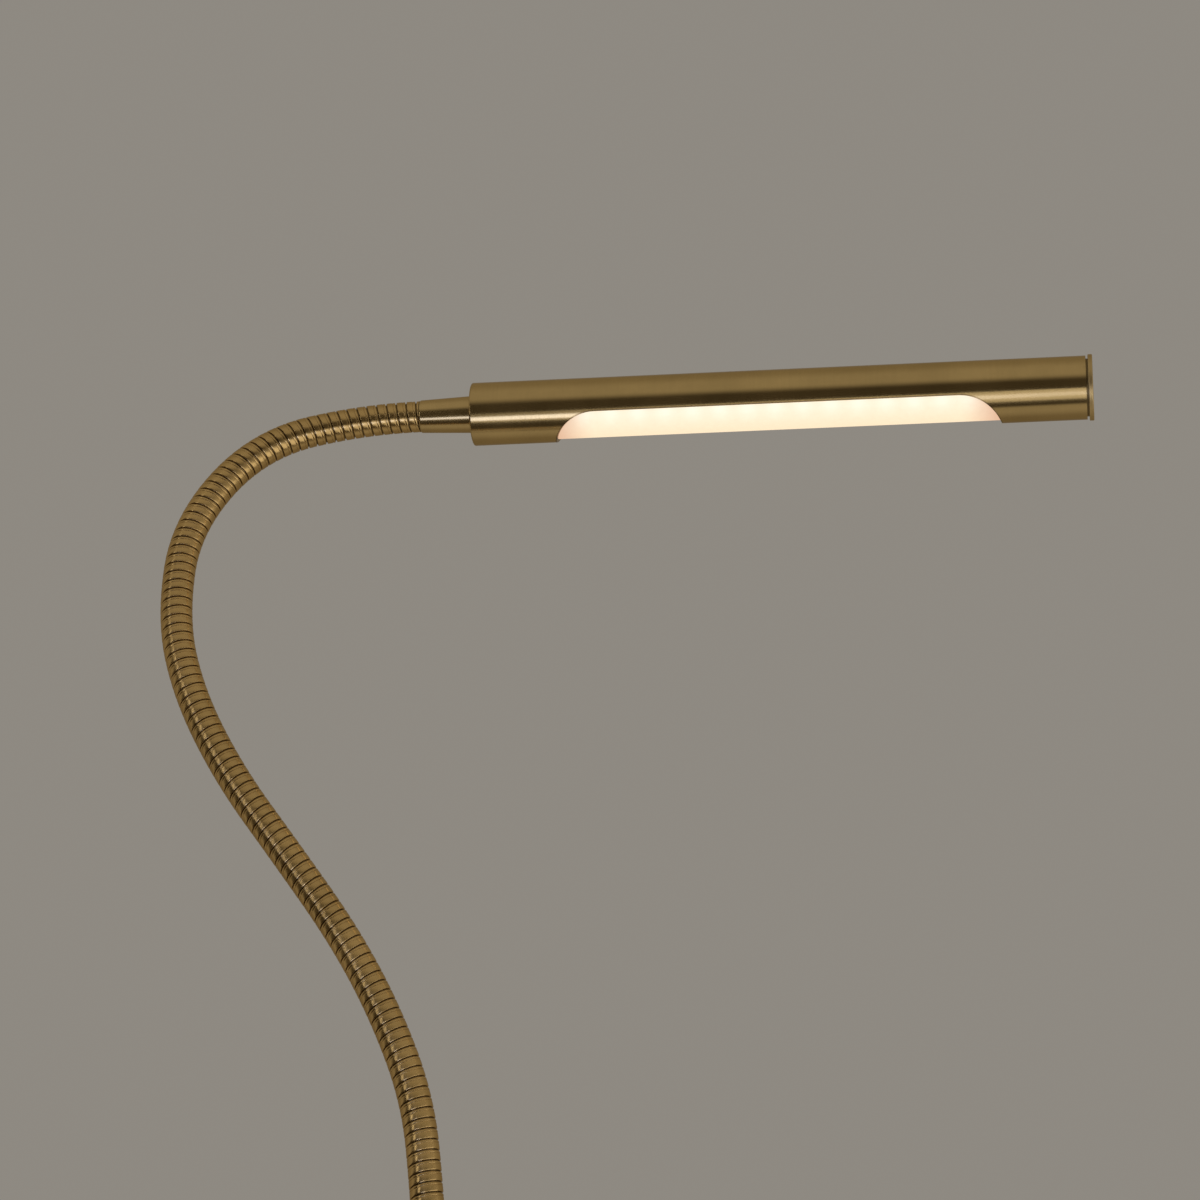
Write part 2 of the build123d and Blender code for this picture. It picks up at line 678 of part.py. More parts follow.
def make_thread_bush():
    """Flanged thread bush in the lower jaw."""
    bore_r = SPINDLE_D / 2 + SLIDE
    return turned(
        (bore_r, JAW_BOTTOM - BUSH_FLANGE_T),
        (BUSH_FLANGE_D / 2, JAW_BOTTOM - BUSH_FLANGE_T),
        (BUSH_FLANGE_D / 2, JAW_BOTTOM),
        (BUSH_D / 2, JAW_BOTTOM),
        (BUSH_D / 2, -JAW_GAP),
        (bore_r, -JAW_GAP),
    )


def make_pressure_pad():
    """Round pad with a pocket for the retaining clip."""
    pad = rod(PAD_D / 2, PAD_BOTTOM, PAD_TOP)
    lower_rim = pad.edges().filter_by(GeomType.CIRCLE).sort_by(Axis.Z)[0]
    pad = chamfer(lower_rim, PAD_EDGE)
    pad -= rod(CLIP_POCKET_D / 2, PAD_TOP - CLIP_POCKET_T, PAD_TOP + ROOM)
    return pad - rod(JOURNAL_D / 2 + SLIDE, PAD_BOTTOM - ROOM, PAD_TOP)


def make_pad_rubber():
    """Rubber face on the pressure pad."""
    return rod(PAD_RUBBER_D / 2, PAD_TOP, -TABLE_GAP)


def clip_level():
    """Underside of the retaining clip, just above the pocket's floor."""
    return PAD_TOP - CLIP_POCKET_T + SLIDE


def make_spindle():
    """Clamp spindle with a journal and clip groove at its top."""
    journal_r = JOURNAL_D / 2
    groove_r = journal_r - CLIP_GROOVE
    low = clip_level()
    spindle = turned(
        (0, KNOB_BOTTOM + KNOB_FLOOR),
        (SPINDLE_D / 2, KNOB_BOTTOM + KNOB_FLOOR),
        (SPINDLE_D / 2, PAD_BOTTOM - SLIDE),
        (journal_r, PAD_BOTTOM - SLIDE),
        (journal_r, low),
        (groove_r, low),
        (groove_r, low + CLIP_T),
        (journal_r, low + CLIP_T),
        (journal_r, PAD_TOP - SLIDE),
        (0, PAD_TOP - SLIDE),
    )
    return spindle - knob_pin(KNOB_PIN_D / 2 + FIT)


def make_pad_clip():
    """Retaining clip in the journal's groove."""
    low = clip_level()
    inner_r = JOURNAL_D / 2 - CLIP_GROOVE + FIT
    clip = rod(CLIP_D / 2, low + FIT, low + CLIP_T - FIT)
    clip -= rod(inner_r, low - ROOM, low + CLIP_T + ROOM)
    return clip - Pos(0, 0, low) * Box(CLIP_D, CLIP_MOUTH, CLIP_T, align=FROM_CORNER)


def knob_pin(radius):
    """A cross pin through the knob's hub."""
    middle = (KNOB_TOP + KNOB_DISC_TOP) / 2
    return Pos(0, 0, middle) * Rot(0, 90, 0) * Cylinder(radius, KNOB_HUB_D)


def make_knob():
    """Fluted knob with a hub, fixed to the spindle by a cross pin."""
    disc = Circle(KNOB_D / 2)
    disc -= PolarLocations(KNOB_D / 2 + KNOB_FLUTE_OUT, KNOB_FLUTES) * Circle(KNOB_FLUTE_D / 2)
    knob = Pos(0, 0, KNOB_BOTTOM) * extrude(disc, KNOB_T)
    rims = knob.edges().group_by(Axis.Z)
    knob = chamfer(rims[0] + rims[-1], KNOB_EDGE)
    knob += rod(KNOB_HUB_D / 2, KNOB_DISC_TOP, KNOB_TOP)
    knob -= rod(SPINDLE_D / 2 + FIT, KNOB_BOTTOM + KNOB_FLOOR, KNOB_TOP + ROOM)
    return knob - knob_pin(KNOB_PIN_D / 2 + FIT)


def head_parts():
    """Every piece of the head, moved from the head's frame to its place."""
    pieces = {
        "head_tube": make_head_tube(),
        "head_end_cap": make_end_cap(),
        "head_rear_plug": make_rear_plug(),
        "head_ferrule": make_ferrule(),
        "head_locknut": hex_nut(NUT_AF, STUD_HOLE_R, PLUG_T, PLUG_T + NUT_T),
        "led_carrier": make_led_carrier(),
        "led_board": make_led_board(),
        "led_chips": make_led_chips(),
        "diffuser": make_diffuser(),
        "head_wires": make_head_wires(),
    }
    return {name: HEAD_FRAME * piece for name, piece in pieces.items()}


def base_parts():
    """Every piece of the housing, its board, switch and gland."""
    return {
        "neck_collar": make_collar(),
        "collar_locknut": hex_nut(NUT_AF, STUD_HOLE_R, CEILING - NUT_T, CEILING),
        "driver_housing": make_housing(),
        "housing_screws": make_base_screws(),
        "board_standoffs": make_standoffs(),
        "driver_board": make_board(),
        "driver_components": make_board_parts(),
        "terminal_block": make_terminal_block(),
        "switch_body": make_switch_body(),
        "switch_plunger": make_plunger(),
        "switch_button": make_button(),
        "button_bezel": make_bezel(),
        "cord_gland": make_gland(),
        "gland_nut": make_gland_nut(),
    }


def clamp_parts():
    """Every piece of the clamp."""
    return {
        "clamp_frame": make_clamp_frame(),
        "seat_pad": make_seat_pad(),
        "thread_bush": make_thread_bush(),
        "pressure_pad": make_pressure_pad(),
        "pressure_pad_rubber": make_pad_rubber(),
        "clamp_spindle": make_spindle(),
        "spindle_clip": make_pad_clip(),
        "clamp_knob": make_knob(),
        "knob_pin": knob_pin(KNOB_PIN_D / 2),
    }


PARTS = {**clamp_parts(), **base_parts(), **make_neck(), **head_parts()}
PARTS["neck_lead"] = make_neck_lead()

os.makedirs("parts", exist_ok=True)
for name, piece in PARTS.items():
    export_step(piece, f"parts/{name}.step")
print(len(PARTS), "nodes")
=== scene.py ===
import json
import math

import bmesh
import bpy
import numpy as np
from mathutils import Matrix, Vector


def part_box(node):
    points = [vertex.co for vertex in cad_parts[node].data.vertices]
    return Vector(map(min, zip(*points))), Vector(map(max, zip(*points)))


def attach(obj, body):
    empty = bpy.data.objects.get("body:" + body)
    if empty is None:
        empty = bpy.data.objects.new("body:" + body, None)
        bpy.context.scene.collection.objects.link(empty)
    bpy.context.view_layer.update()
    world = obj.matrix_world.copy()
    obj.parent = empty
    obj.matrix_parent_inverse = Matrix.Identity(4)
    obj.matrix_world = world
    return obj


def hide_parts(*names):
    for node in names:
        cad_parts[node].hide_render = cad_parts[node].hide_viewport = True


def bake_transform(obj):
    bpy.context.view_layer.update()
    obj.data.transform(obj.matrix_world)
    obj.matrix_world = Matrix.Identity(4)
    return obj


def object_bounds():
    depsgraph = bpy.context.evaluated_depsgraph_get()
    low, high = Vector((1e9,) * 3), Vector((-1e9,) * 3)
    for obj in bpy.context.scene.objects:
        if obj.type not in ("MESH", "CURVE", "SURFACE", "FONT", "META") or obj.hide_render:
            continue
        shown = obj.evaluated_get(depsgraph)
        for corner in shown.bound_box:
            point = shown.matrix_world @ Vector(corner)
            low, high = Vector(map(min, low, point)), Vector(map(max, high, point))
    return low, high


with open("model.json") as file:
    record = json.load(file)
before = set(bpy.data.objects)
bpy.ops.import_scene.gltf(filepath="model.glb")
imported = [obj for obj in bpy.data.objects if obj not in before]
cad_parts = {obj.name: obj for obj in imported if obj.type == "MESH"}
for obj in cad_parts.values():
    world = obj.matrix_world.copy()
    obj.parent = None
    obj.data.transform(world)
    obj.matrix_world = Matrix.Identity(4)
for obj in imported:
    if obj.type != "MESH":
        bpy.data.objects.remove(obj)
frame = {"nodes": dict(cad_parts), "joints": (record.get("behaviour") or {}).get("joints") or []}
NODES = frame["nodes"]
CAD_LOW, CAD_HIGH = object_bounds()

# Sizes shared with the solids, in metres
NECK_FOOT = 0.0576
NECK_ROUTE = [
    (0, 0, 0), (0, 0, .036), (-.003, .016, .076), (-.007, .031, .108), (-.020, .046, .139),
    (-.036, .059, .166), (-.058, .072, .195), (-.080, .086, .223), (-.097, .102, .253),
    (-.105, .118, .282), (-.102, .141, .319), (-.075, .162, .351), (-.033, .1703, .3610),
    (-.012, .1677, .3618),
]
NECK_R = 0.00615
NECK_BORE_R = 0.0032
HINGES = 12
TURNS = 124               # turns of the neck's winding
LEAD_R = 0.0018
LEAD_FOOT = 0.0236
LEAD_PAST_TIP = 0.0317
FERRULE_L = 0.0212
TUBE_LENGTH = 0.241
CUT_END = 0.0319          # from each end of the tube to its cut-out
LED_PITCH = 0.0108
KNOB_DROP = 0.027         # how far the knob goes down as the clamp opens

# Camera: level, looking along +Y
CAMERA_AT = (0.0591, -1.4502, 0.3468)
CAMERA_LENS = 122.5
SENSOR = 36.0


# Lines in space

ROUTE_STEPS = 96          # points for each control point of a route


class Line:
    """A smooth line through space, read by length, with a frame that doesn't twist."""

    def __init__(self, points):
        points = np.asarray(points, float)
        keep = np.r_[True, np.linalg.norm(np.diff(points, axis=0), axis=1) > 1e-9]
        self.points = points[keep]
        steps = np.linalg.norm(np.diff(self.points, axis=0), axis=1)
        self.at = np.r_[0, np.cumsum(steps)]
        self.length = self.at[-1]
        along = np.gradient(self.points, self.at, axis=0)
        self.along = along / np.linalg.norm(along, axis=1)[:, None]
        side = np.array([1.0, 0, 0])
        sides = []
        for t in self.along:
            side = side - t * (side @ t)
            side = side / np.linalg.norm(side)
            sides.append(side)
        self.sides = np.array(sides)

    def read(self, values, stations):
        return np.stack([np.interp(stations, self.at, values[:, i]) for i in range(3)], axis=1)

    def frames(self, stations):
        """Centres, directions and two cross directions at stations along the line."""
        t = self.read(self.along, stations)
        t /= np.linalg.norm(t, axis=1)[:, None]
        u = self.read(self.sides, stations)
        u -= t * np.sum(u * t, axis=1)[:, None]
        u /= np.linalg.norm(u, axis=1)[:, None]
        return self.read(self.points, stations), t, u, np.cross(t, u)


def spline_points(points):
    """Points along the smooth spline that has the given control points."""
    curve = bpy.data.curves.new("route", "CURVE")
    curve.dimensions = "3D"
    curve.resolution_u = ROUTE_STEPS
    spline = curve.splines.new("NURBS")
    spline.points.add(len(points) - 1)
    for target, point in zip(spline.points, points):
        target.co = (*point, 1.0)
    spline.order_u = 3
    spline.use_endpoint_u = True
    holder = bpy.data.objects.new("route", curve)
    mesh = bpy.data.meshes.new_from_object(holder)
    found = np.array([v.co for v in mesh.vertices])
    bpy.data.objects.remove(holder)
    bpy.data.curves.remove(curve)
    bpy.data.meshes.remove(mesh)
    return found


NECK = Line(spline_points([(x, y, z + NECK_FOOT) for x, y, z in NECK_ROUTE]))
PITCH = NECK.length / TURNS
NECK_TIP = Vector(NECK.points[-1])
HEAD_AXIS = (Vector(NECK_ROUTE[-1]) - Vector(NECK_ROUTE[-2])).normalized()
HEAD_AT = NECK_TIP + HEAD_AXIS * FERRULE_L
HEAD_UP = (Vector((0, 0, 1)) - HEAD_AXIS * HEAD_AXIS.z).normalized()


# Mesh helpers

WELD = 1e-7               # points closer than this become one


def make_piece(name, vertices, faces, sharp, along=None, sunk=None):
    """A mesh object with welded points, outward faces and smooth shading up to an angle.

    Each point can keep the direction of the line it lies on and how deep it is sunk, from 0 to 1.
    """
    mesh = bpy.data.meshes.new(name)
    mesh.from_pydata([tuple(v) for v in vertices], [], faces)
    if along is not None:
        kept = mesh.attributes.new("along", "FLOAT_VECTOR", "POINT")
        kept.data.foreach_set("vector", np.ravel(along))
        kept = mesh.attributes.new("sunk", "FLOAT", "POINT")
        kept.data.foreach_set("value", sunk)
    work = bmesh.new()
    work.from_mesh(mesh)
    bmesh.ops.remove_doubles(work, verts=work.verts, dist=WELD)
    bmesh.ops.dissolve_degenerate(work, edges=work.edges, dist=WELD)
    bmesh.ops.recalc_face_normals(work, faces=work.faces)
    work.to_mesh(mesh)
    work.free()
    for polygon in mesh.polygons:
        polygon.use_smooth = True
    mesh.set_sharp_from_angle(angle=math.radians(sharp))
    piece = bpy.data.objects.new(name, mesh)
    bpy.context.scene.collection.objects.link(piece)
    return piece


def ring_faces(rings, sides):
    """Faces that join rings of points into a closed round bar."""
    faces = []
    for i in range(rings - 1):
        a = i * sides
        b = a + sides
        for j in range(sides):
            n = (j + 1) % sides
            faces.append((a + j, a + n, b + n, b + j))
    faces.append(tuple(range(sides)))
    faces.append(tuple((rings - 1) * sides + j for j in range(sides)))
    return faces


# Neck and its lead, in lengths that each cross a hinge

BODIES = ["base"] + [f"neck_{n:02d}" for n in range(1, HINGES)] + ["head"]
PIVOTS = {j["child"]: Vector(j["pos_m"]) for j in frame["joints"] if j["child"] in BODIES}
FIRST_CUT = 13.5          # turn of the first cut, midway between two hinges
TURNS_PER_LINK = 10
SEGMENTS = 48             # mesh steps in a turn
NECK_SHARP = 28.0
# The strip's outer face: share of the pitch, depth below the neck's radius
STRIP = [
    (0.0, .00075),
    (0.050, .00070),
    (0.072, .00026),
    (0.095, .00010),
    (0.13, .00003),
    (0.20, 0.0),
    (0.40, 0.0),
    (0.58, .00001),
    (0.640, .00004),
    (0.664, .00009),
    (0.678, .00018),
    (0.700, .00018),
    (0.714, .00007),
    (0.75, .00002),
    (0.84, .00001),
    (0.885, .00006),
    (0.925, .00018),
    (0.948, .00070),
    (1.0, .00075),
]
WALL_SHARES = [0.0, 0.5, 1.0]  # the same shares for its inner face
GROOVE_TOP = 0.00020      # depth where the painted shade in the grooves begins
GROOVE_FULL = 0.0006      # depth where it is full
LEAD_STEPS = 40           # rings in each length of the lead
LEAD_SIDES = 20
LEAD_SHARP = 35.0


def wound_piece(name, first, last):
    """A closed length of wound strip on the neck's line between two turns."""
    k = np.arange(round(first * SEGMENTS), round(last * SEGMENTS) + 1)
    count = len(k)
    angles = 2 * math.pi * k / SEGMENTS
    base = PITCH * k / SEGMENTS
    low = np.clip(-base / PITCH, 0, 1)
    high = np.clip((NECK.length - base) / PITCH, 0, 1)
    shares = [share for share, depth in STRIP]
    radii = [NECK_R - depth for share, depth in STRIP]
    outer = len(shares)
    inner_low, inner_high = outer, outer + len(WALL_SHARES) - 1
    rows = []
    ways = []
    sunk = []
    for row, share in enumerate(shares + WALL_SHARES):
        at = np.clip(share, low, high)
        centre, t, u, w = NECK.frames(base + at * PITCH)
        r = np.interp(at, shares, radii) if row < outer else np.full(count, NECK_BORE_R)
        spoke = np.cos(angles)[:, None] * u + np.sin(angles)[:, None] * w
        rows.append(centre + r[:, None] * spoke)
        ways.append(t)
        # How deep each point is sunk, for the painted shade in the grooves
        sunk.append(np.clip((NECK_R - r - GROOVE_TOP) / (GROOVE_FULL - GROOVE_TOP), 0, 1))
    faces = []
    for row in [*range(outer - 1), *range(inner_low, inner_high)]:
        for i in range(count - 1):
            a = row * count + i
            faces.append((a, a + 1, a + count + 1, a + count))
    for i in range(min(SEGMENTS, count - 1)):
        faces.append((i, i + 1, inner_low * count + i + 1, inner_low * count + i))
        j = count - 2 - i
        top = (outer - 1) * count + j
        inside = inner_high * count + j
        faces.append((top, top + 1, inside + 1, inside))
    for i in (0, count - 1):
        rim = [*range(outer), *range(inner_high, inner_low - 1, -1)]
        faces.append(tuple(row * count + i for row in rim))
    return make_piece(name, np.concatenate(rows), faces, NECK_SHARP, np.concatenate(ways),
                      np.concatenate(sunk))


def lead_piece(name, line, start, end):
    """A closed length of the lead along a line between two stations."""
    centre, t, u, w = line.frames(np.linspace(start, end, LEAD_STEPS))
    angles = 2 * math.pi * np.arange(LEAD_SIDES) / LEAD_SIDES
    bars = [centre + LEAD_R * (math.cos(a) * u + math.sin(a) * w) for a in angles]
    vertices = np.stack(bars, axis=1).reshape(-1, 3)
    return make_piece(name, vertices, ring_faces(LEAD_STEPS, LEAD_SIDES), LEAD_SHARP)


def cut_turns(number):
    """First and last turn of the neck length that crosses a hinge."""
    first = -1 if number == 1 else FIRST_CUT + TURNS_PER_LINK * (number - 2)
    last = TURNS if number == HINGES else FIRST_CUT + TURNS_PER_LINK * (number - 1)
    return first, last


def bend_with_neck(piece, number):
    """Finds the hinge's pivot and the neck's direction there, and bakes the piece's place into its
    points.
    """
    pivot = PIVOTS[BODIES[number]]
    nearest = NECK.at[np.argmin(np.linalg.norm(NECK.points - np.array(pivot), axis=1))]
    along = Vector(NECK.frames(np.array([nearest]))[1][0])
    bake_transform(piece)


neck_pieces = []
for number in range(1, HINGES + 1):
    first, last = cut_turns(number)
    piece = wound_piece(f"neck_winding_{number:02d}", first, last)
    covered = ["neck_stub_head"] if number == HINGES else [f"neck_link_{number:02d}"]
    if number == 1:
        covered.append("neck_stub_base")
    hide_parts(*covered)
    bend_with_neck(piece, number)
    neck_pieces.append(piece)

LEAD_BELOW_NECK = NECK_FOOT - LEAD_FOOT
lead_points = [(0, 0, LEAD_FOOT), (0, 0, (LEAD_FOOT + NECK_FOOT) / 2), *NECK.points]
lead_points += [NECK_TIP + HEAD_AXIS * LEAD_PAST_TIP * share for share in (.5, 1.0)]
LEAD = Line(lead_points)
lead_pieces = []
for number in range(1, HINGES + 1):
    first, last = cut_turns(number)
    start = 0.0 if number == 1 else LEAD_BELOW_NECK + first * PITCH
    end = LEAD.length if number == HINGES else LEAD_BELOW_NECK + last * PITCH
    piece = lead_piece(f"neck_lead_{number:02d}", LEAD, start, end)
    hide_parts("neck_lead")
    bend_with_neck(piece, number)
    lead_pieces.append(piece)


# Clamp spindle with its thread

SPINDLE_R = 0.0050
SPINDLE_TAPER = 0.0012    # length of the taper at the thread's upper end
SPINDLE_TAPER_R = 0.0044
SHANK_R = 0.0030          # thin upper end, which turns in the pressure pad
SHANK_TIP = 0.0003        # length of the taper at its tip
SHANK_TIP_R = 0.0027
CLIP_GROOVE_R = 0.0025
CLIP_GAP = 0.00005
PAD_GAP = 0.0001
KNOB_GAP = 0.001          # plain length between the knob and the thread
THREAD_PITCH = 0.002
THREAD_DEPTH = 0.0009
THREAD_ROOT = 0.14        # half of the root's width, as a share of the pitch
THREAD_FLANK = 0.2        # a flank's width, as a share of the pitch
THREAD_RUN_OUT = 0.003
SPINDLE_STEPS_PER_TURN = 14
SPINDLE_SIDES = 40
SPINDLE_SHARP = 40.0


def limit(value):
    return min(max(value, 0.0), 1.0)


def spindle_profile():
    """(height, radius, threaded) corners of the spindle from its foot to its top.

    A threaded corner ends a run that carries the thread.
    """
    low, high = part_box("clamp_spindle")
    pad_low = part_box("pressure_pad")[0].z
    clip_low, clip_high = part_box("spindle_clip")
    shoulder = pad_low - PAD_GAP
    groove_low = clip_low.z - CLIP_GAP
    groove_high = clip_high.z + CLIP_GAP
    return [
        (low.z, SPINDLE_R, False),
        (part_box("clamp_knob")[1].z + KNOB_GAP, SPINDLE_R, False),
        (shoulder - SPINDLE_TAPER, SPINDLE_R, True),
        (shoulder, SPINDLE_TAPER_R, False),
        (shoulder, SHANK_R, False),
        (groove_low, SHANK_R, False),
        (groove_low, CLIP_GROOVE_R, False),
        (groove_high, CLIP_GROOVE_R, False),
        (groove_high, SHANK_R, False),
        (high.z - SHANK_TIP, SHANK_R, False),
        (high.z, SHANK_TIP_R, False),
    ]


def make_spindle():
    """Turned spindle whose long run carries a right-hand trapezoid thread."""
    corners = spindle_profile()
    thread_low = corners[1][0]
    thread_high = corners[2][0]
    rings = []
    for (z0, r0, _), (z1, _, threaded) in zip(corners, corners[1:]):
        rings.append((z0, r0, False))
        if threaded:
            steps = round((z1 - z0) / THREAD_PITCH * SPINDLE_STEPS_PER_TURN)
            rings += [(z0 + (z1 - z0) * i / steps, r0, True) for i in range(1, steps)]
    rings.append((corners[-1][0], corners[-1][1], False))
    vertices = []
    for z, r, threaded in rings:
        for j in range(SPINDLE_SIDES):
            turn = j / SPINDLE_SIDES
            radius = r
            if threaded:
                phase = (z / THREAD_PITCH - turn) % 1.0
                flank = limit((abs(phase - .5) - THREAD_ROOT) / THREAD_FLANK)
                edge = limit(min(z - thread_low, thread_high - z) / THREAD_RUN_OUT)
                radius = r - THREAD_DEPTH * (1 - flank) * edge
            angle = 2 * math.pi * turn
            vertices.append((radius * math.cos(angle), radius * math.sin(angle), z))
    faces = ring_faces(len(rings), SPINDLE_SIDES)
    return make_piece("threaded_spindle", vertices, faces, SPINDLE_SHARP)


spindle = make_spindle()
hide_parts("clamp_spindle")
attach(spindle, "spindle")


# Node trees

class Nodes:
    """A node tree with short ways to add and join nodes."""

    def __init__(self, tree):
        self.tree = tree
        self.tree.nodes.clear()

    def add(self, kind, **settings):
        node = self.tree.nodes.new(kind)
        for key, value in settings.items():
            setattr(node, key, value)
        return node

    def join(self, source, target):
        self.tree.links.new(source, target)

    def put(self, socket, value):
        """Joins a socket to another, or sets its value."""
        if isinstance(value, bpy.types.NodeSocket):
            self.join(value, socket)
        else:
            socket.default_value = value

    def fill(self, node, *values):
        """Puts values into a node's first sockets."""
        for socket, value in zip(node.inputs, values):
            self.put(socket, value)

    def math(self, operation, a, b=0.0, c=0.0):
        node = self.add("ShaderNodeMath", operation=operation)
        self.fill(node, a, b, c)
        return node.outputs[0]

    def product(self, first, *others):
        for other in others:
            first = self.math("MULTIPLY", first, other)
        return first

    def dot(self, vector, direction):
        node = self.add("ShaderNodeVectorMath", operation="DOT_PRODUCT")
        self.fill(node, vector, direction)
        return node.outputs["Value"]

    def vector(self, x, y, z):
        node = self.add("ShaderNodeCombineXYZ")
        self.fill(node, x, y, z)
        return node.outputs[0]

    def noise(self, vector, scale, detail=2.0, rough=0.5):
        node = self.add("ShaderNodeTexNoise")
        self.put(node.inputs["Vector"], vector)
        node.inputs["Scale"].default_value = scale
        node.inputs["Detail"].default_value = detail
        node.inputs["Roughness"].default_value = rough
        return node.outputs["Fac"]

    def remap(self, value, low, high, to_low=0.0, to_high=1.0, kind="LINEAR"):
        node = self.add("ShaderNodeMapRange", interpolation_type=kind)
        self.fill(node, value, low, high, to_low, to_high)
        return node.outputs[0]

    def fade(self, value, low, high, to_low=0.0, to_high=1.0):
        """Like remap, but with a soft start and end."""
        return self.remap(value, low, high, to_low, to_high, "SMOOTHSTEP")

    def mix(self, share, a, b):
        node = self.add("ShaderNodeMix", data_type="RGBA")
        self.put(node.inputs[0], share)
        self.put(node.inputs[6], a)
        self.put(node.inputs[7], b)
        return node.outputs[2]


class Surface(Nodes):
    """The node tree of a new material, with its output and its main shader."""

    def __init__(self, name):
        self.material = bpy.data.materials.new(name)
        self.material.use_nodes = True
        super().__init__(self.material.node_tree)
        self.out = self.add("ShaderNodeOutputMaterial")
        self.main = self.add("ShaderNodeBsdfPrincipled")
        self.join(self.main.outputs[0], self.out.inputs["Surface"])

    def set(self, name, value):
        """Joins or sets one of the main shader's own sockets."""
        self.put(self.main.inputs[name], value)

    def bump(self, height, strength, distance):
        node = self.add("ShaderNodeBump")
        node.inputs["Strength"].default_value = strength
        node.inputs["Distance"].default_value = distance
        self.put(node.inputs["Height"], height)
        return node.outputs[0]

    def place(self):
        """The point's place on the object itself."""
        return self.add("ShaderNodeTexCoord").outputs["Object"]

    def normal(self):
        return self.add("ShaderNodeNewGeometry").outputs["Normal"]

    def kept(self, name, output):
        """A value that a piece keeps on its points."""
        return self.add("ShaderNodeAttribute", attribute_name=name).outputs[output]

    def round_about(self, axis):
        """The direction round an axis, or round the line that a piece keeps on its points."""
        node = self.add("ShaderNodeVectorMath", operation="CROSS_PRODUCT")
        self.fill(node, axis or self.kept("along", "Vector"), self.normal())
        safe = self.add("ShaderNodeVectorMath", operation="ADD")
        self.fill(safe, node.outputs[0], (0, 0, .001))
        return safe.outputs[0]

    def edges(self, radius, full):
        """1 on edges whose rounded normal leans to the cosine full, 0 on open faces."""
        soft = self.add("ShaderNodeBevel", samples=4)
        soft.inputs["Radius"].default_value = radius
        return self.remap(self.dot(soft.outputs[0], self.normal()), 1.0, full)


# Materials: noise scales are per metre, shades are shares of a material's own colour

GRAIN_LINES = (2400.0, 60.0)   # changes of a metal's grain along its axis and across it
EDGE = (.0004, .8)             # radius and cosine of a rubbed edge
RUBBED = (.2, .7)              # least and most wear of a metal's edges
METAL_CLOUDS = dict(scale=38.0, detail=4.0, rough=.6)
METAL_SHADES = (.9, 1.08)      # in the clouds
SPOTS = dict(scale=420.0, detail=3.0, rough=.6)
SPOT_SHADE = .6
GRAIN_SHADE = .8
# Painted shade in hollows, darkest where ambient occlusion finds them most shut in
HOLLOW_REACH = .0018
HOLLOW_OPEN = (.30, .62)       # how open a hollow is where its painted shade is full and where it ends
HOLLOW_SHARE = .85
HOLLOW_SHADE = .22
METAL_BUMP = (.08, .0001)
METAL_RIM = (.72, .66, .56, 1.0)
GRAIN_TURN = .25               # quarter turn, so that the gloss spreads across the grain
MOULD_CLOUDS = dict(scale=60.0, detail=3.0)
MOULD_SHADES = (.86, 1.14)
MOULD_SPECK = .25
MOULD_SPECK_SHADE = 1.35
MOULD_RUBBED = (.1, .6)
MOULD_DEPTH = .0003
MOULD_GLOSS = (1.0, .80, .48, 1.0)


def shade(color, factor):
    return (*[min(c * factor, 1.0) for c in color], 1.0)


def metal(name, color, rough, axis, edge_tone, brushed_round=0.0, grain=1.0, lines=GRAIN_LINES,
          edge=EDGE, rubbed=RUBBED, span=None):
    """Satin metal with fine grain lines about an axis, cloudy tarnish, painted shade in hollows and
    edges of another colour.

    The span is the stretch along the axis whose edges have that colour. With no axis, the line and the
    depth that the piece keeps on its points are used, the depth for painted shade in the grooves.
    """
    s = Surface(name)
    p = s.place()
    way = Vector(axis or (0, 0, 1)).normalized()
    up = way.orthogonal().normalized()
    side = way.cross(up)
    along, across = lines
    brushed = s.noise(s.vector(s.product(s.dot(p, way), along), s.product(s.dot(p, up), across),
                               s.product(s.dot(p, side), across)), 1.0, 2.0, .6)
    cloud = s.noise(p, **METAL_CLOUDS)
    spots = s.noise(p, **SPOTS)
    dull, bright = METAL_SHADES
    tone = s.mix(s.remap(cloud, .3, .7), shade(color, dull), shade(color, bright))
    tone = s.mix(s.remap(spots, .66, .8, 0.0, .3), tone, shade(color, SPOT_SHADE))
    tone = s.mix(s.remap(brushed, .35, .7, 0.0, .2), tone, shade(color, GRAIN_SHADE))
    # Edges take the edge tone: rubbed wear on most metals, painted shade along the tube's cut-out
    edge_mask = s.product(s.edges(*edge), s.remap(cloud, .35, .6, *rubbed))
    if span:
        at = s.dot(p, way)
        edge_mask = s.product(edge_mask, s.math("GREATER_THAN", at, span[0]), s.math("LESS_THAN", at, span[1]))
    tone = s.mix(edge_mask, tone, (*edge_tone, 1.0))
    # Painted shade: with an axis, hollows darker by ambient occlusion; with none, grooves darker by
    # their kept depth
    if axis:
        hollow = s.add("ShaderNodeAmbientOcclusion", samples=8)
        hollow.inputs["Distance"].default_value = HOLLOW_REACH
        sunk = s.remap(hollow.outputs["AO"], *HOLLOW_OPEN, 1.0, 0.0)
    else:
        sunk = s.kept("sunk", "Fac")
    s.set("Base Color", s.mix(s.product(sunk, HOLLOW_SHARE), tone, shade(color, HOLLOW_SHADE)))
    s.set("Metallic", 1.0)
    s.set("Specular Tint", METAL_RIM)
    patchy = s.remap(cloud, .3, .7, rough * .9, rough * 1.1)
    s.set("Roughness", s.math("ADD", patchy, s.remap(brushed, .3, .7, -.02, .02)))
    strength, depth = METAL_BUMP
    s.set("Normal", s.bump(brushed, strength * grain, depth))
    if brushed_round:
        s.set("Anisotropic", brushed_round)
        s.set("Anisotropic Rotation", GRAIN_TURN)
        s.set("Tangent", s.round_about(axis))
    return s.material


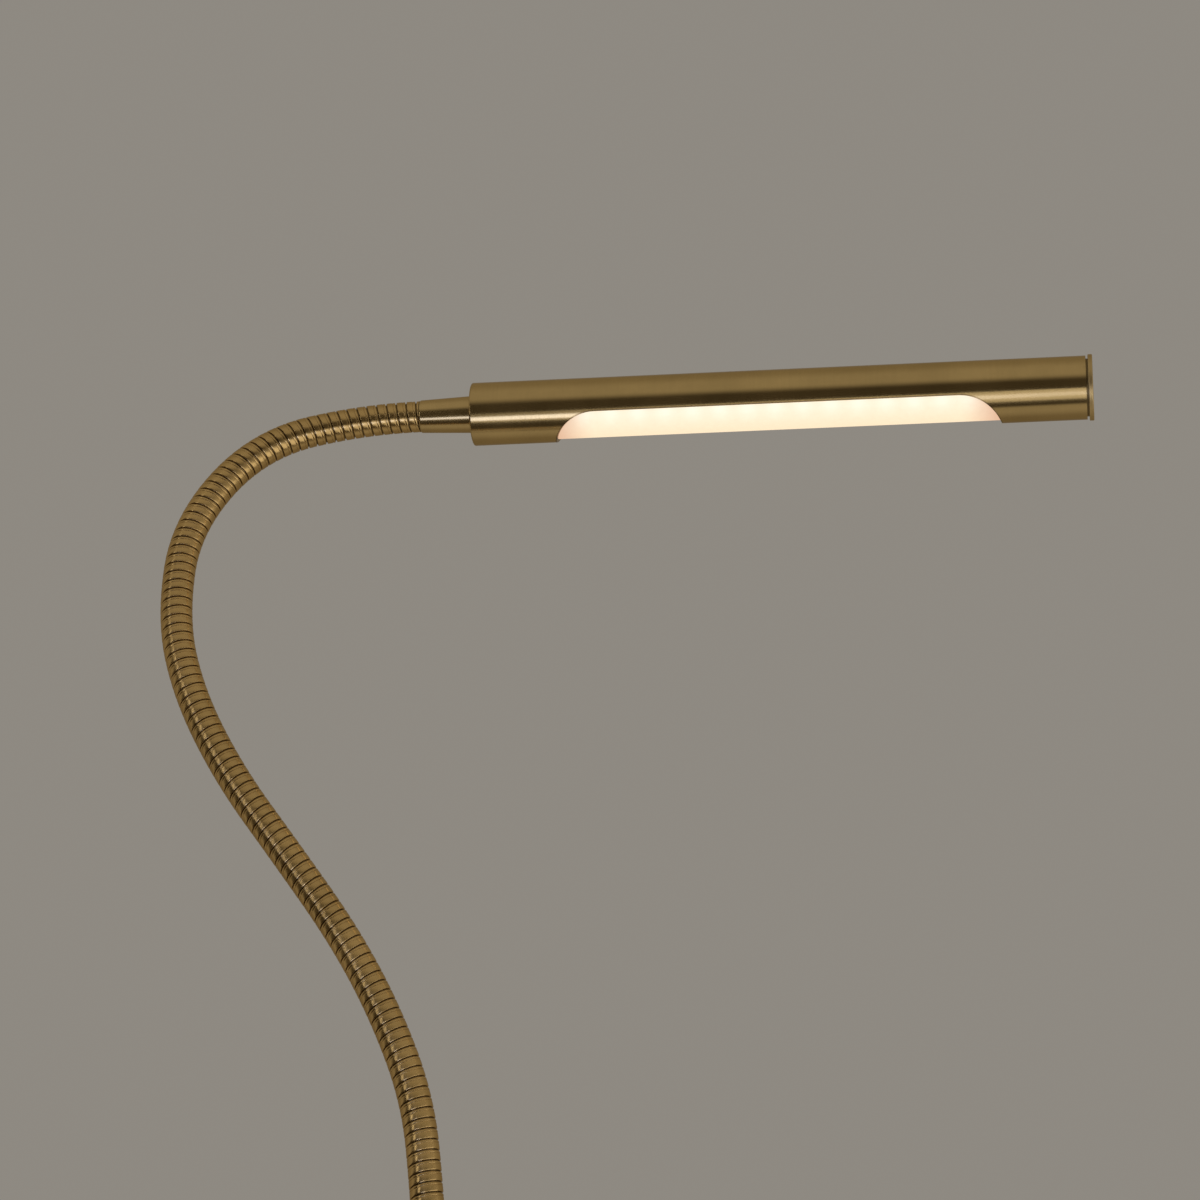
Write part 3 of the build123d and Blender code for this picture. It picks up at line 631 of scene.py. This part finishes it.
def moulded(name, color, rough, scale, bump, edge_tone):
    """Moulded plastic or rubber with a fine grain, slight colour change and rubbed edges."""
    s = Surface(name)
    p = s.place()
    grain = s.noise(p, scale, 3.0, .55)
    cloud = s.noise(p, **MOULD_CLOUDS)
    dull, bright = MOULD_SHADES
    tone = s.mix(s.remap(cloud, .3, .7), shade(color, dull), shade(color, bright))
    tone = s.mix(s.remap(grain, .55, .75, 0.0, MOULD_SPECK), tone, shade(color, MOULD_SPECK_SHADE))
    edge_mask = s.product(s.edges(*EDGE), s.remap(cloud, .4, .65, *MOULD_RUBBED))
    s.set("Base Color", s.mix(edge_mask, tone, (*edge_tone, 1.0)))
    s.set("Roughness", s.remap(grain, .3, .7, rough * .9, min(rough * 1.1, 1.0)))
    s.set("Normal", s.bump(grain, bump, MOULD_DEPTH))
    s.set("Specular Tint", MOULD_GLOSS)
    return s.material


OPAL_ENDS = (-.001, .018)      # way into the cut over which the light grows
OPAL_SPOTS_TO = (.0016, .0085)  # drop below the tube's axis over which the light spots fade
OPAL_DEEP_TO = (.004, .0105)   # drop over which the cream deepens
OPAL_CREAM = (1.0, .86, .62, 1.0)
OPAL_DEEP = (1.0, .78, .51, 1.0)
OPAL_PINK = (.82, .46, .268, 1.0)
OPAL_HOT = (1.0, .95, .86, 1.0)
OPAL_HOT_SHARE = .28
OPAL_LEVEL = .82               # light at both ends, and what is added in the cut and at a spot
OPAL_LEVEL_INSIDE = .10
OPAL_LEVEL_HOT = .07
OPAL_UNLIT = [(.17, .16, .14, 1.0), (.21, .195, .17, 1.0)]
CHIP_UNLIT = [(.9, .7, .28, 1.0), (.95, .8, .4, 1.0)]
CHIP_LIT = [(1.0, .86, .6, 1.0), (1.0, .92, .72, 1.0)]
CHIP_LEVEL = 2.0


def glowing_opal():
    """Lit opal plastic: brighter at each light source, dimmer and pinker at both ends."""
    s = Surface("opal_lit")
    p = s.place()
    rel = s.add("ShaderNodeVectorMath", operation="SUBTRACT")
    s.fill(rel, p, HEAD_AT)
    x = s.dot(rel.outputs[0], HEAD_AXIS)
    drop = s.product(s.dot(rel.outputs[0], HEAD_UP), -1.0)
    middle = TUBE_LENGTH / 2
    from_middle = s.math("SUBTRACT", x, middle)
    from_end = s.math("SUBTRACT", middle - CUT_END, s.math("ABSOLUTE", from_middle))
    inside = s.fade(from_end, *OPAL_ENDS)
    phase = s.math("COSINE", s.product(from_middle, 2 * math.pi / LED_PITCH))
    spot = s.remap(phase, -1.0, 1.0)
    hot = s.product(spot, s.remap(drop, *OPAL_SPOTS_TO, 1.0, 0.0), inside)
    grain = s.noise(p, 500.0)
    cream = s.mix(s.remap(drop, *OPAL_DEEP_TO), OPAL_CREAM, OPAL_DEEP)
    warm = s.mix(inside, OPAL_PINK, cream)
    s.set("Emission Color", s.mix(s.product(hot, OPAL_HOT_SHARE), warm, OPAL_HOT))
    level = s.math("MULTIPLY_ADD", inside, OPAL_LEVEL_INSIDE, OPAL_LEVEL)
    level = s.math("ADD", level, s.product(hot, OPAL_LEVEL_HOT))
    s.set("Emission Strength", s.math("ADD", level, s.remap(grain, .3, .7, -.01, .01)))
    s.set("Base Color", s.mix(grain, *OPAL_UNLIT))
    s.set("Roughness", s.remap(grain, .3, .7, .42, .52))
    s.set("Normal", s.bump(grain, .03, .0001))
    return s.material


def glowing_chip():
    """Lit phosphor face of a light source."""
    s = Surface("phosphor_lit")
    grain = s.noise(s.place(), 2500.0)
    s.set("Base Color", s.mix(grain, *CHIP_UNLIT))
    s.set("Emission Color", s.mix(grain, *CHIP_LIT))
    s.set("Emission Strength", CHIP_LEVEL)
    s.set("Roughness", .5)
    return s.material


BRASS = (.51, .342, .131)
NECK_BRASS = (.552, .350, .123)
BRASS_WORN = (.66, .50, .25)
BRASS_CUT_SHADE = (.085, .042, .012)  # painted shade along the edge of the tube's cut-out
STEEL = (.55, .51, .43)
UPRIGHT = (0, 0, 1)
CUT_MARGIN = .002
tube_start = HEAD_AT.dot(HEAD_AXIS)
cut_span = (tube_start + CUT_END - CUT_MARGIN, tube_start + TUBE_LENGTH - CUT_END + CUT_MARGIN)

head_brass = metal("brass_head", BRASS, .21, HEAD_AXIS, BRASS_WORN, .7, grain=.3)
cap_brass = metal("brass_cap", BRASS, .42, HEAD_AXIS, BRASS_WORN, grain=.3,
                  edge=(.0008, .9), rubbed=(.4, .8))
# Dark brown edges along the cut-out: painted shade where the tube's rim meets the diffuser
tube_brass = metal("brass_tube", BRASS, .21, HEAD_AXIS, BRASS_CUT_SHADE, .7, grain=.3,
                   edge=(.0010, .95), rubbed=(.9, 1.0), span=cut_span)
base_brass = metal("brass_base", BRASS, .24, UPRIGHT, BRASS_WORN, grain=.4)
neck_brass = metal("brass_neck", NECK_BRASS, .26, None, BRASS_WORN, .9, grain=.06,
                   lines=(3200.0, 3200.0))
steel = metal("zinc_steel", STEEL, .34, UPRIGHT, (.75, .74, .72))
aluminium = metal("carrier_aluminium", (.7, .7, .71), .38, HEAD_AXIS, (.85, .85, .86),
                  lines=(18.0, 2400.0))
rubber = moulded("pad_rubber", (.035, .034, .033), .78, 1200.0, .3, (.1, .1, .1))
black_plastic = moulded("black_plastic", (.028, .028, .029), .45, 1500.0, .15, (.14, .14, .14))
button_plastic = moulded("button_plastic", (.05, .046, .04), .4, 1500.0, .12, (.16, .15, .13))
white_board = moulded("led_board_mask", (.82, .82, .79), .4, 700.0, .05, (.7, .6, .35))
green_board = moulded("driver_board_mask", (.03, .17, .07), .35, 700.0, .08, (.5, .42, .2))
terminal = moulded("terminal_plastic", (.62, .62, .58), .5, 900.0, .1, (.8, .8, .78))
sheath = moulded("lead_sheath", (.03, .03, .03), .5, 1100.0, .15, (.12, .12, .12))
opal = glowing_opal()
chip = glowing_chip()

FINISHES = [
    (tube_brass, ["head_tube"]),
    (head_brass, ["head_rear_plug", "head_ferrule"]),
    (cap_brass, ["head_end_cap"]),
    (base_brass, ["neck_collar", "driver_housing", "clamp_frame", "clamp_knob", "button_bezel",
                  "pressure_pad"]),
    (steel, ["thread_bush", "housing_screws", "spindle_clip", "knob_pin", "head_locknut",
             "collar_locknut", "board_standoffs"]),
    (opal, ["diffuser"]),
    (chip, ["led_chips"]),
    (aluminium, ["led_carrier"]),
    (white_board, ["led_board"]),
    (green_board, ["driver_board"]),
    (rubber, ["seat_pad", "pressure_pad_rubber"]),
    (black_plastic, ["cord_gland", "gland_nut", "switch_body", "switch_plunger", "driver_components"]),
    (button_plastic, ["switch_button"]),
    (terminal, ["terminal_block"]),
    (sheath, ["head_wires"]),
]


def dress(piece, material):
    piece.data.materials.clear()
    piece.data.materials.append(material)


for material, names in FINISHES:
    for name in names:
        dress(NODES[name], material)
for piece in neck_pieces:
    dress(piece, neck_brass)
for piece in lead_pieces:
    dress(piece, sheath)
dress(spindle, steel)


# Surroundings: pale floor, plain grey background, soft lamps

FLOOR_R = .75
FLOOR_SIDES = 96
FLOOR_FADE = (.35, .95)        # shares of the radius between which the floor fades out
FLOOR_GAP = .0005
FLOOR_TONES = [(.56, .55, .53, 1.0), (.60, .59, .57, 1.0)]

BACKGROUND = (.272, .252, .222, 1.0)
EVEN_LIGHT = (.46, .45, .44, 1.0)
# What gloss mirrors, with limits as parts of the unit direction
ROOM_BEHIND = (.34, .322, .29, 1.0)
ROOM_BEHIND_UP = (-.4, .3)
ROOM_FRONT = (.44, .43, .41, 1.0)
ROOM_FRONT_AHEAD = (-.5, .2)
GAP = (.06, .053, .044, 1.0)
GAP_TOP = (.46, .80)
GAP_FOOT = (-.91, -.83)
GAP_AHEAD = (-.05, .25)
GAP_RIGHT = (.25, .85)
GAP_RIGHT_SHARE = .25

WHITE = (1, 1, 1)
COOL = (.95, 1.0, 1.14)
BLUE = (.77, .97, 1.9)
# Name, place, aim, size, power, colour, mirrored in gloss
LAMPS = [
    ("low_front", (-.31, -1.05, -.055), (-.31, 0, -.04), (.62, .32), 1.35, BLUE, True),
    ("low_right", (.594, -.818, -.058), (-.02, .165, .41), (2.4, .88), 6.2, COOL, True),
    ("left_strip", (-.93, -.58, .72), (-.05, .10, .25), (.28, .62), .75, COOL, True),
    ("top", (.3, -.3, 1.7), (0, .1, .1), (1.5, 1.5), 14.0, WHITE, False),
]


def make_floor(level):
    """Round floor that fades out towards its rim and isn't mirrored in gloss."""
    angles = [2 * math.pi * i / FLOOR_SIDES for i in range(FLOOR_SIDES)]
    ring = [(FLOOR_R * math.cos(a), FLOOR_R * math.sin(a), level) for a in angles]
    mesh = bpy.data.meshes.new("floor")
    mesh.from_pydata(ring, [], [tuple(range(FLOOR_SIDES))])
    floor = bpy.data.objects.new("floor", mesh)
    bpy.context.scene.collection.objects.link(floor)
    s = Surface("floor_pale")
    p = s.place()
    s.set("Base Color", s.mix(s.noise(p, 220.0, 3.0), *FLOOR_TONES))
    s.set("Roughness", .8)
    s.set("Specular IOR Level", .1)
    flat = s.add("ShaderNodeVectorMath", operation="MULTIPLY")
    s.fill(flat, p, (1, 1, 0))
    size = s.add("ShaderNodeVectorMath", operation="LENGTH")
    s.fill(size, flat.outputs[0])
    gone = s.fade(size.outputs["Value"], *[FLOOR_R * share for share in FLOOR_FADE])
    gloss = s.add("ShaderNodeLightPath").outputs["Is Glossy Ray"]
    clear = s.add("ShaderNodeBsdfTransparent")
    both = s.add("ShaderNodeMixShader")
    s.fill(both, s.math("MAXIMUM", gone, gloss), s.main.outputs[0], clear.outputs[0])
    s.join(both.outputs[0], s.out.inputs["Surface"])
    dress(floor, s.material)


def make_world():
    """Plain grey for the eye, a room with a dark gap in front for gloss, and even soft light."""
    world = bpy.data.worlds.new("studio")
    bpy.context.scene.world = world
    world.use_nodes = True
    s = Nodes(world.node_tree)
    out = s.add("ShaderNodeOutputWorld")
    back = s.add("ShaderNodeBackground")
    s.join(back.outputs[0], out.inputs["Surface"])
    rays = s.add("ShaderNodeLightPath").outputs
    direction = s.add("ShaderNodeTexCoord").outputs["Generated"]
    height = s.dot(direction, (0, 0, 1))
    ahead = s.dot(direction, (0, -1, 0))
    rightward = s.dot(direction, (1, 0, 0))
    behind = s.mix(s.remap(height, *ROOM_BEHIND_UP), BACKGROUND, ROOM_BEHIND)
    room = s.mix(s.fade(ahead, *ROOM_FRONT_AHEAD), behind, ROOM_FRONT)
    gap = s.product(s.fade(height, *GAP_TOP, 1.0, 0.0), s.fade(height, *GAP_FOOT),
                    s.remap(ahead, *GAP_AHEAD), s.remap(rightward, *GAP_RIGHT, 1.0, GAP_RIGHT_SHARE))
    seen = s.mix(rays["Is Glossy Ray"], EVEN_LIGHT, s.mix(gap, room, GAP))
    direct = s.math("MAXIMUM", rays["Is Camera Ray"], rays["Is Transmission Ray"])
    s.put(back.inputs["Color"], s.mix(direct, seen, BACKGROUND))


def add_lamp(name, at, aim, size, power, color, mirrored):
    light = bpy.data.lights.new(name, "AREA")
    light.shape = "RECTANGLE"
    light.size, light.size_y = size
    light.energy = power
    light.color = color
    lamp = bpy.data.objects.new(name, light)
    bpy.context.scene.collection.objects.link(lamp)
    lamp.location = at
    lamp.rotation_mode = "QUATERNION"
    lamp.rotation_quaternion = (Vector(aim) - Vector(at)).to_track_quat("-Z", "Y")
    lamp.visible_camera = False
    lamp.visible_glossy = mirrored


make_world()
make_floor(CAD_LOW.z - KNOB_DROP - FLOOR_GAP)
for lamp in LAMPS:
    add_lamp(*lamp)

camera_data = bpy.data.cameras.new("camera")
camera_data.lens = CAMERA_LENS
camera_data.sensor_width = SENSOR
camera_data.sensor_fit = "HORIZONTAL"
camera = bpy.data.objects.new("camera", camera_data)
bpy.context.scene.collection.objects.link(camera)
camera.location = CAMERA_AT
camera.rotation_euler = (math.pi / 2, 0, 0)
bpy.context.scene.camera = camera
bpy.context.scene.view_settings.view_transform = "Standard"

bpy.context.view_layer.update()
